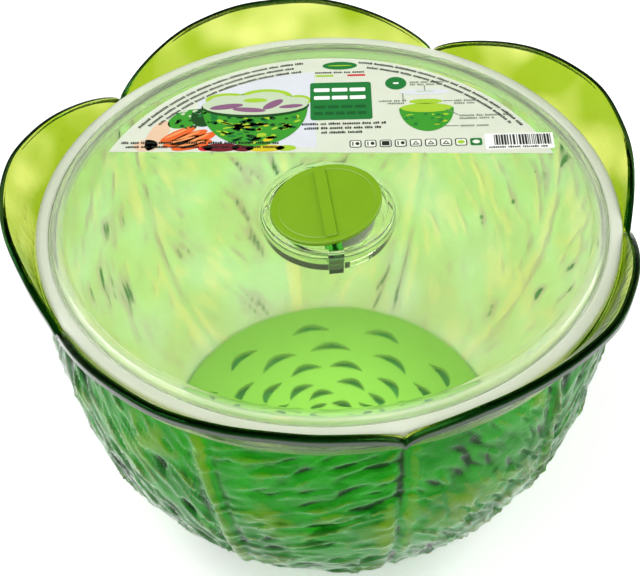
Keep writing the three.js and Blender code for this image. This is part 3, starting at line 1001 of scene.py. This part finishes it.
def print_still_life(art, rng):
    """A picture of vegetables and a filled bowl, on the left half."""
    # misty backdrop, fading down to the right
    arc = [(87 * math.cos(a), 87 * math.sin(a)) for a in np.radians(np.linspace(93, 128, 30))]
    art.add("mist", arc + [(-52, 42), (-4, 37)], 1)
    art.disc("peach", 2, -69.5, 47, 4, 10, -18)
    art.disc("peach", 2, -74, 41, 5, 3.5, 10)
    # leafy greens
    art.disc("mid_green", 2, -58, 57.5, 8.5, 5, 32)
    art.disc("dark_leaf", 3, -51.5, 58, 4.6, 6, 10)
    for _ in range(26):
        x, y = rng.uniform(-65, -48), rng.uniform(51, 63)
        if ((x + 57) / 9) ** 2 + ((y - 57) / 6) ** 2 < 1:
            ink = ("dark_leaf", "leaf_green", "pale_green")[rng.integers(3)]
            rx, ry, lean = rng.uniform(0.5, 1.4), rng.uniform(0.4, 1.0), rng.uniform(0, 90)
            art.disc(ink, 4, x, y, rx, ry, lean, 10)
    # carrots
    carrots = (-61, 47.5, 34), (-56.5, 45.5, 30), (-59, 43, 20), (-52.5, 43.5, 33), (-55, 40.5, 16)
    for x, y, lean in carrots:
        art.disc("orange", 3, x, y, 8.6, 2.5, lean)
        art.disc("light_orange", 4, x - 0.5, y + 0.8, 6, 0.7, lean)
    # fruit along the straight edge
    for ink, x, y, rx, ry in (
        ("wine", -43, 38.6, 7.5, 2.6),
        ("wine", -34, 38.2, 4.5, 2.4),
        ("red", -49.5, 38.6, 3, 2),
        ("yellow", -25, 37.6, 8, 2.2),
        ("lime", -16.5, 37.4, 4.2, 1.8),
    ):
        art.disc(ink, 2, x, y, rx, ry)
    # the bowl: petals behind, body, lid with leaves under it
    for x, y, rx, ry in ((-41, 69.5, 9.5, 4.4), (-25, 71, 11, 5), (-11.5, 68, 5.5, 3.6)):
        art.disc("lime", 2, x, y, rx, ry)
        art.disc("pale_green", 3, x, y - 0.6, rx * 0.8, ry * 0.75)
    lip = disc_outline(-29.5, 64, 22, 25, 0, 40, 180, 360)
    art.add("mid_green", lip, 4)
    for _ in range(150):
        x, y = rng.uniform(-50, -9), rng.uniform(40, 61)
        if ((x + 29.5) / 20) ** 2 + ((y - 64) / 23.3) ** 2 < 1:
            ink = ("lime", "lime", "dark_leaf", "leaf_green", "yellow", "deep_green")[rng.integers(6)]
            rx, ry, lean = rng.uniform(0.7, 2.6), rng.uniform(0.4, 1.3), rng.uniform(-30, 30)
            art.disc(ink, 5, x, y, rx, ry, lean, 10)
    art.disc("dark_leaf", 5.8, -29.5, 64.6, 22.6, 7.4)
    art.disc("pale_green", 6.8, -29.5, 65.6, 22.2, 6.7)
    for x, y, rx, ry, lean in (
        (-41.5, 64.6, 7, 1.7, 8),
        (-32, 62.2, 7, 1.5, -6),
        (-22, 65.5, 5, 1.9, 35),
        (-14.5, 64, 5, 1.2, 6),
    ):
        art.disc("plum", 7.8, x, y, rx, ry, lean)
    art.disc("lime", 7.8, -29.5, 68.4, 5, 1.4)


def print_titles(art, rng):
    """A plain leaf mark, two colour bars, a title panel with blank bars and lines of small print."""
    art.disc("leaf_green", 2, 6.5, 91, 7.4, 2.7)
    art.disc("lime", 3, 6.5, 91, 5.2, 0.35)
    art.bar("lime", 2, -4, 83.6, 3.6, 84.8)
    art.bar("red", 2, 9.6, 83.6, 17.2, 84.8)
    art.dashes("black", -4, 17.2, 85.8, 1.1, rng)
    art.bar("leaf_green", 2, -6.4, 54.6, 19.4, 79.4, 1.4)
    for y, height, count, ink in (
        (73.2, 2.4, 3, "white"),
        (68, 2.4, 3, "white"),
        (62.2, 1.9, 4, "deep_green"),
        (58, 1.9, 5, "deep_green"),
    ):
        pitch = 22.6 / count
        for i in range(count):
            x = -4.8 + i * pitch
            art.bar(ink, 3, x, y, x + pitch - 0.9, y + height, 0.6)
    for x0, x1, y in ((-10, 25, 51.4), (-9, 23, 48.6), (-2, 15.5, 45.8)):
        art.dashes("black", x0, x1, y, 1.5, rng)


def print_diagram(art, rng):
    """A badge and an exploded view of lid, grid and bowl, with leader lines."""
    art.disc("leaf_green", 2, 30, 78, 4.5, 4.3)
    art.bar("white", 3, 28.8, 77.5, 31.2, 78.5, 0.4)
    art.disc("mist", 2, 42, 71.8, 10.8, 1.9)
    art.disc("pale_green", 3, 42, 72.1, 4, 0.6)
    art.disc("lime", 2, 42, 65.4, 7, 1.6)
    art.disc("lime", 2, 42, 60.6, 11.4, 3.6)
    art.disc("mid_green", 3, 42, 61, 11.4, 15, 0, 30, 180, 360)
    art.disc("lime", 4, 42, 60.8, 10.4, 2.6)
    for _ in range(34):
        x, y = rng.uniform(32, 52), rng.uniform(47, 58)
        if ((x - 42) / 10) ** 2 + ((y - 61) / 13.5) ** 2 < 1:
            ink = ("lime", "leaf_green")[rng.integers(2)]
            art.disc(ink, 5, x, y, rng.uniform(0.5, 1.4), rng.uniform(0.3, 0.7), 0, 8)
    for x0, y0, x1, y1 in (
        (42, 72.5, 42, 76),
        (32.6, 71, 32.6, 66.4),
        (49.2, 65.4, 53.4, 65.4),
        (50, 60, 55, 56),
        (49, 49, 54.6, 49),
    ):
        art.add("grey", line_outline(x0, y0, x1, y1, 0.35), 5)
    for x0, x1, y in (
        (36, 51.6, 77.8),
        (36, 50, 76.2),
        (22.4, 34, 65.6),
        (26, 34, 63.9),
        (53.8, 64.6, 64.9),
        (53.8, 62.6, 63.2),
        (55.4, 76, 55),
        (55.4, 70, 53.2),
        (55.4, 67, 48.4),
    ):
        art.dashes("grey", x0, x1, y, 1.15, rng)


def print_icons(art, rng):
    """A row of nine boxed icons, and stripes on a white field."""
    for i in range(9):
        x = 9.4 + i * 6.15
        filled = i > 6
        y = 36.6 - 0.04 * i
        frame_ink, ground_ink = ("leaf_green", "leaf_green") if i == 8 else ("black", "cream")
        art.bar(frame_ink, 2, x, y, x + 4.9, y + 4.6, 1.1)
        art.bar(ground_ink, 3, x + 0.45, y + 0.45, x + 4.45, y + 4.15, 0.8)
        middle = x + 2.45
        if filled:
            art.disc("lime" if i == 7 else "cream", 4, middle, y + 2.3, 1.5, 1.1)
        elif i in (4, 5, 6):
            art.add("black", [(middle - 1.5, y + 1.1), (middle + 1.5, y + 1.1), (middle, y + 3.5)], 4)
            art.add("cream", [(middle - 0.7, y + 1.6), (middle + 0.7, y + 1.6), (middle, y + 2.7)], 5)
        elif i == 2:
            art.bar("black", 4, x + 0.9, y + 0.9, x + 4.0, y + 3.7, 0.4)
        else:
            art.add("black", line_outline(middle - 1.1, y + 1.1, middle - 1.1, y + 3.5, 0.5), 4)
            art.disc("black", 4, middle + 0.8, y + 2.4, 0.8, 1.0)
    art.bar("white", 2, 64.6, 33.6, 92.6, 43.4)
    x = 68.4
    while x < 91.4:
        wide = rng.choice([0.35, 0.35, 0.6, 0.9])
        art.bar("black", 3, x, 36.2, x + wide, 42.6)
        x += wide + rng.choice([0.3, 0.35, 0.6])
    art.dashes("black", 66, 90.5, 34.3, 1.2, rng)


class KEEPER_OT_label(bpy.types.Operator):
    """Makes the printed film on the back part of the lid"""

    bl_idname = "keeper.label"
    bl_label = "Make the label"

    def execute(self, context):
        colours = context.scene.keeper_colours
        half = math.acos(FILM_EDGE / FILM_RADIUS)
        outline = [
            (FILM_RADIUS * math.cos(FILM_TURN + a), FILM_RADIUS * math.sin(FILM_TURN + a))
            for a in np.linspace(-half, half, 120)
        ]
        low = LABEL_LOW.z - GAP + 0.05
        # the ground coat is thin, so a little of what lies under the lid shows through
        ground = film_print("printed PP film", colours.film, Transmission_Weight=0.2)
        film = piece("printed_film", *slab(outline, low, low + 0.12), ground, False)
        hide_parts("label_film")
        art = Print(low + 0.12)
        rng = np.random.default_rng(5)
        print_still_life(art, rng)
        print_titles(art, rng)
        print_diagram(art, rng)
        print_icons(art, rng)
        for radius, start, end in ((92.8, 146, 95.5), (90, 144, 98), (87.2, 142, 96.5)):
            art.arc_dashes("black", radius, start, end, 1.4, rng)
        for radius, start, end in ((93.4, 81, 31), (90.4, 78.5, 33)):
            art.arc_dashes("black", radius, start, end, 1.4, rng)
        art.dashes("black", -84, -18, 42.2, 1.5, rng, 6, -0.035)
        art.dashes("black", -82, -20, 39.6, 1.3, rng, 6, -0.035)
        made = [film]
        for ink, shapes in art.shapes.items():
            flat = piece("print_" + ink, *gathered(*shapes), film_print("ink " + ink, INKS[ink]), False)
            made.append(flat)
        for thing in made:
            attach(thing, "lid")
        return {"FINISHED"}


# ---------- Vent ----------

DISC_RADIUS = 22.2
DISC_THICKNESS = 2.0
DISC_OVER_COLLAR = 0.9  # level disc's underside, above the collar
BAR_SIZE = (4.6, 39, 1.7)
PIN_RADIUS = 1.2
GASKET_THICKNESS = 1.5
STOP_RADIUS = 16  # middle of the stop rib, from the disc's axis


def vent_plastic(colours):
    """Opaque polypropylene in lime, moulded with a satin face."""
    name = "lime polypropylene, moulded satin"
    tones = linear("#73A006"), linear(colours.vent)
    return mottled(name, (12, 2), *tones, (0.6, 2), (0.32, 0.45), (0.6, 2, 0.03, 0.4))


def yoke_plastic():
    """Clear dark green styrene-acrylonitrile, moulded: glossy, deep where it is thick."""
    tones = linear("#3FAE4C"), linear("#74CC74")
    look = {"Transmission Weight": 1.0, "IOR": 1.32}
    return mottled("dark green SAN, moulded", (5, 2), *tones, (2, 2), (0.08, 0.16), **look)


def gasket_rubber():
    """Pale silicone, moulded: soft and matte."""
    tones = linear("#D5D8C6"), linear("#E2E4D6")
    return mottled("pale silicone, moulded", (4, 2), *tones, (1, 2), (0.5, 0.65))


class KEEPER_OT_vent(bpy.types.Operator):
    """Makes the rocking vent disc, and finishes its yoke and gasket"""

    bl_idname = "keeper.vent"
    bl_label = "Make the vent"

    def execute(self, context):
        colours = context.scene.keeper_colours
        radius = DISC_RADIUS
        under = COLLAR_TOP + DISC_OVER_COLLAR
        top = under + DISC_THICKNESS
        well_top = WELL_UNDERSIDE + WELL_FLOOR
        gasket_top = well_top + GAP + GASKET_THICKNESS
        disc = turned(
            rounded(
                [
                    (0, under, 0),
                    (radius - 0.3, under, 0.5),
                    (radius, under + 0.5, 0.3),
                    (radius, top - 0.2, 0.6),
                    (radius - 0.9, top, 0.5),
                    (radius - 2.6, top - 0.12, 0.3),
                    (radius - 3.1, top - 0.3, 0.2),
                    (radius - 3.6, top - 0.12, 0.2),
                    (0, top - 0.1, 0),
                ],
                3,
            ),
            120,
        )
        shapes = [disc, brick(BAR_SIZE, (0, 0, top - 0.15), 0.7)]
        leg_inside = YOKE_REACH - 4
        ear = leg_inside - GAP - 2
        for side in (-1, 1):
            low = PIVOT_HEIGHT - 2
            middle = (0, side * (ear + 1), (under + 0.5 + low) / 2)
            shapes.append(brick((5, 2, under + 0.5 - low), middle))
            ends = sorted((side * ear, side * (leg_inside + 2.4)))
            shapes.append(rod_along_y(PIN_RADIUS, ends[0], ends[1], 0, PIVOT_HEIGHT))
        low = gasket_top + GAP
        for x, length in ((8.1, 21.6), (14.4, 10.8)):
            shapes.append(brick((2, length, under + 0.5 - low), (x, 0, (under + 0.5 + low) / 2)))
        stop_low = well_top + GAP + (STOP_RADIUS + 1) * math.sin(VENT_TILT)
        stop_middle = (-STOP_RADIUS, 0, (under + 0.5 + stop_low) / 2)
        shapes.append(brick((2, 18, under + 0.5 - stop_low), stop_middle))
        pivot = Vector((0, 0, PIVOT_HEIGHT))
        tilt = Matrix.Translation(pivot) @ Matrix.Rotation(-VENT_TILT, 4, "Y") @ Matrix.Translation(-pivot)
        place = Matrix.Rotation(LID_TURN, 4, "Z") @ tilt
        points, faces = moved(gathered(*shapes), place)
        rocker = piece("rocker_disc", points, faces, vent_plastic(colours))
        rocker.data.set_sharp_from_angle(angle=math.radians(38))
        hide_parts("vent_disc")
        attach(rocker, "vent")
        for name, finish in (("vent_yoke", yoke_plastic()), ("vent_gasket", gasket_rubber())):
            node = frame["nodes"][name]
            node.data.materials.clear()
            node.data.materials.append(finish)
        return {"FINISHED"}


# ---------- Stage ----------


def floor_paper():
    """Matte white background paper, lit a little from beneath."""
    tones = linear("#F8F9F7"), linear("#FDFDFC")
    look = {"Roughness": 0.9, "Specular IOR Level": 0.1}
    glow = {"Emission Color": (1, 1, 1, 1), "Emission Strength": 0.35}
    return mottled("white paper sweep", (60, 2), *tones, **look, **glow)


def soft_lamp(name, place, target, size, watts):
    """A rectangular softbox that looks at a target, in metres and watts."""
    data = bpy.data.lights.new(name, "AREA")
    data.shape = "RECTANGLE"
    data.size, data.size_y = size
    data.energy = watts
    lamp = bpy.data.objects.new(name, data)
    lamp.location = place
    lamp.rotation_euler = (Vector(target) - Vector(place)).to_track_quat("-Z", "Y").to_euler()
    bpy.context.scene.collection.objects.link(lamp)


def make_world():
    """White studio light, with a dark part high at the back: flat tops mirror it, so the lid stays
    clear and the rim black."""
    world = bpy.data.worlds.new("studio")
    world.use_nodes = True
    tree = world.node_tree
    tree.nodes.clear()
    direction = add_node(tree, "ShaderNodeTexCoord").outputs["Generated"]
    towards = add_node(tree, "ShaderNodeVectorMath", {0: direction}, operation="DOT_PRODUCT")
    towards.inputs[1].default_value = (0.0, 0.73, 0.68)
    dark = add_node(
        tree,
        "ShaderNodeMapRange",
        {0: towards.outputs["Value"]},
        interpolation_type="SMOOTHSTEP",
        From_Min=0.62,
        From_Max=0.9,
        To_Min=1.0,
        To_Max=0.12,
    )
    background = add_node(tree, "ShaderNodeBackground", {"Strength": dark.outputs[0]})
    background.inputs["Color"].default_value = (1, 1, 1, 1)
    add_node(tree, "ShaderNodeOutputWorld", {0: background.outputs[0]})
    bpy.context.scene.world = world


class KEEPER_OT_stage(bpy.types.Operator):
    """Makes the floor, the light and the camera"""

    bl_idname = "keeper.stage"
    bl_label = "Make the stage"

    def execute(self, context):
        half = 3000  # a floor 6 m across, so that its edge is out of every view
        corners = [(-half, -half, 0), (half, -half, 0), (half, half, 0), (-half, half, 0)]
        floor = piece("floor", corners, [[0, 1, 2, 3]], floor_paper(), False)
        floor.location.z = -0.0002  # just under the bowl, so that they don't share a plane
        floor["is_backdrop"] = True
        make_world()
        soft_lamp("key_softbox", (-0.9, 0.3, 1.3), (0, 0, 0.1), (0.7, 0.9), 10)
        soft_lamp("side_strip", (1.2, 0.5, 0.9), (0, 0, 0.12), (0.25, 0.9), 8)
        # light that the clear lid would let in, given straight to what lies inside
        data = bpy.data.lights.new("inside_glow", "POINT")
        data.energy, data.shadow_soft_size = 0.35, 0.03
        glow = bpy.data.objects.new("inside_glow", data)
        glow.location = (0, 0, 0.085)
        glow.visible_camera = glow.visible_transmission = glow.visible_glossy = False
        context.scene.collection.objects.link(glow)
        # the camera looks down at the lid from the front
        elevation, pitch, yaw, roll = np.radians((42.76, 2.44, -0.48, -1.65)).tolist()
        distance, orbit_height = 0.6506, 0.132  # metres
        place = Vector((0, -math.cos(elevation) * distance, orbit_height + math.sin(elevation) * distance))
        down = elevation + pitch
        ahead = Vector((math.sin(yaw) * math.cos(down), math.cos(yaw) * math.cos(down), -math.sin(down)))
        right = ahead.cross(Vector((0, 0, 1))).normalized()
        up = right.cross(ahead)
        turned_right = math.cos(roll) * right + math.sin(roll) * up
        turned_up = math.cos(roll) * up - math.sin(roll) * right
        data = bpy.data.cameras.new("camera")
        data.lens = 92.98
        data.clip_start = 0.01
        camera = bpy.data.objects.new("camera", data)
        basis = Matrix((turned_right, turned_up, -ahead)).transposed()
        camera.matrix_world = Matrix.Translation(place) @ basis.to_4x4()
        context.scene.collection.objects.link(camera)
        context.scene.camera = camera
        context.scene.view_settings.view_transform = "Standard"
        return {"FINISHED"}


class KEEPER_PT_panel(bpy.types.Panel):
    """Lists the settings and the makers"""

    bl_label = "Salad keeper"
    bl_idname = "KEEPER_PT_panel"
    bl_space_type = "VIEW_3D"
    bl_region_type = "UI"
    bl_category = "Keeper"

    def draw(self, context):
        for group in (context.scene.keeper_sizes, context.scene.keeper_colours):
            for name in group.__annotations__:
                self.layout.prop(group, name)
        for operator in OPERATORS:
            self.layout.operator(operator.bl_idname)


GROUPS = (KeeperSizes, KeeperColours)
OPERATORS = (
    KEEPER_OT_stage,
    KEEPER_OT_bowl,
    KEEPER_OT_grid,
    KEEPER_OT_lid,
    KEEPER_OT_label,
    KEEPER_OT_vent,
)


def register():
    for cls in (*GROUPS, *OPERATORS, KEEPER_PT_panel):
        bpy.utils.register_class(cls)
    bpy.types.Scene.keeper_sizes = bpy.props.PointerProperty(type=KeeperSizes)
    bpy.types.Scene.keeper_colours = bpy.props.PointerProperty(type=KeeperColours)


def unregister():
    del bpy.types.Scene.keeper_colours
    del bpy.types.Scene.keeper_sizes
    for cls in reversed((*GROUPS, *OPERATORS, KEEPER_PT_panel)):
        bpy.utils.unregister_class(cls)


def main():
    register()
    for operator in OPERATORS:
        getattr(bpy.ops.keeper, operator.bl_idname.split(".")[1])()
    bounds = [[list(corner) for corner in box] for box in (CAD_BOUNDS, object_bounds())]


if __name__ == "__main__":
    main()
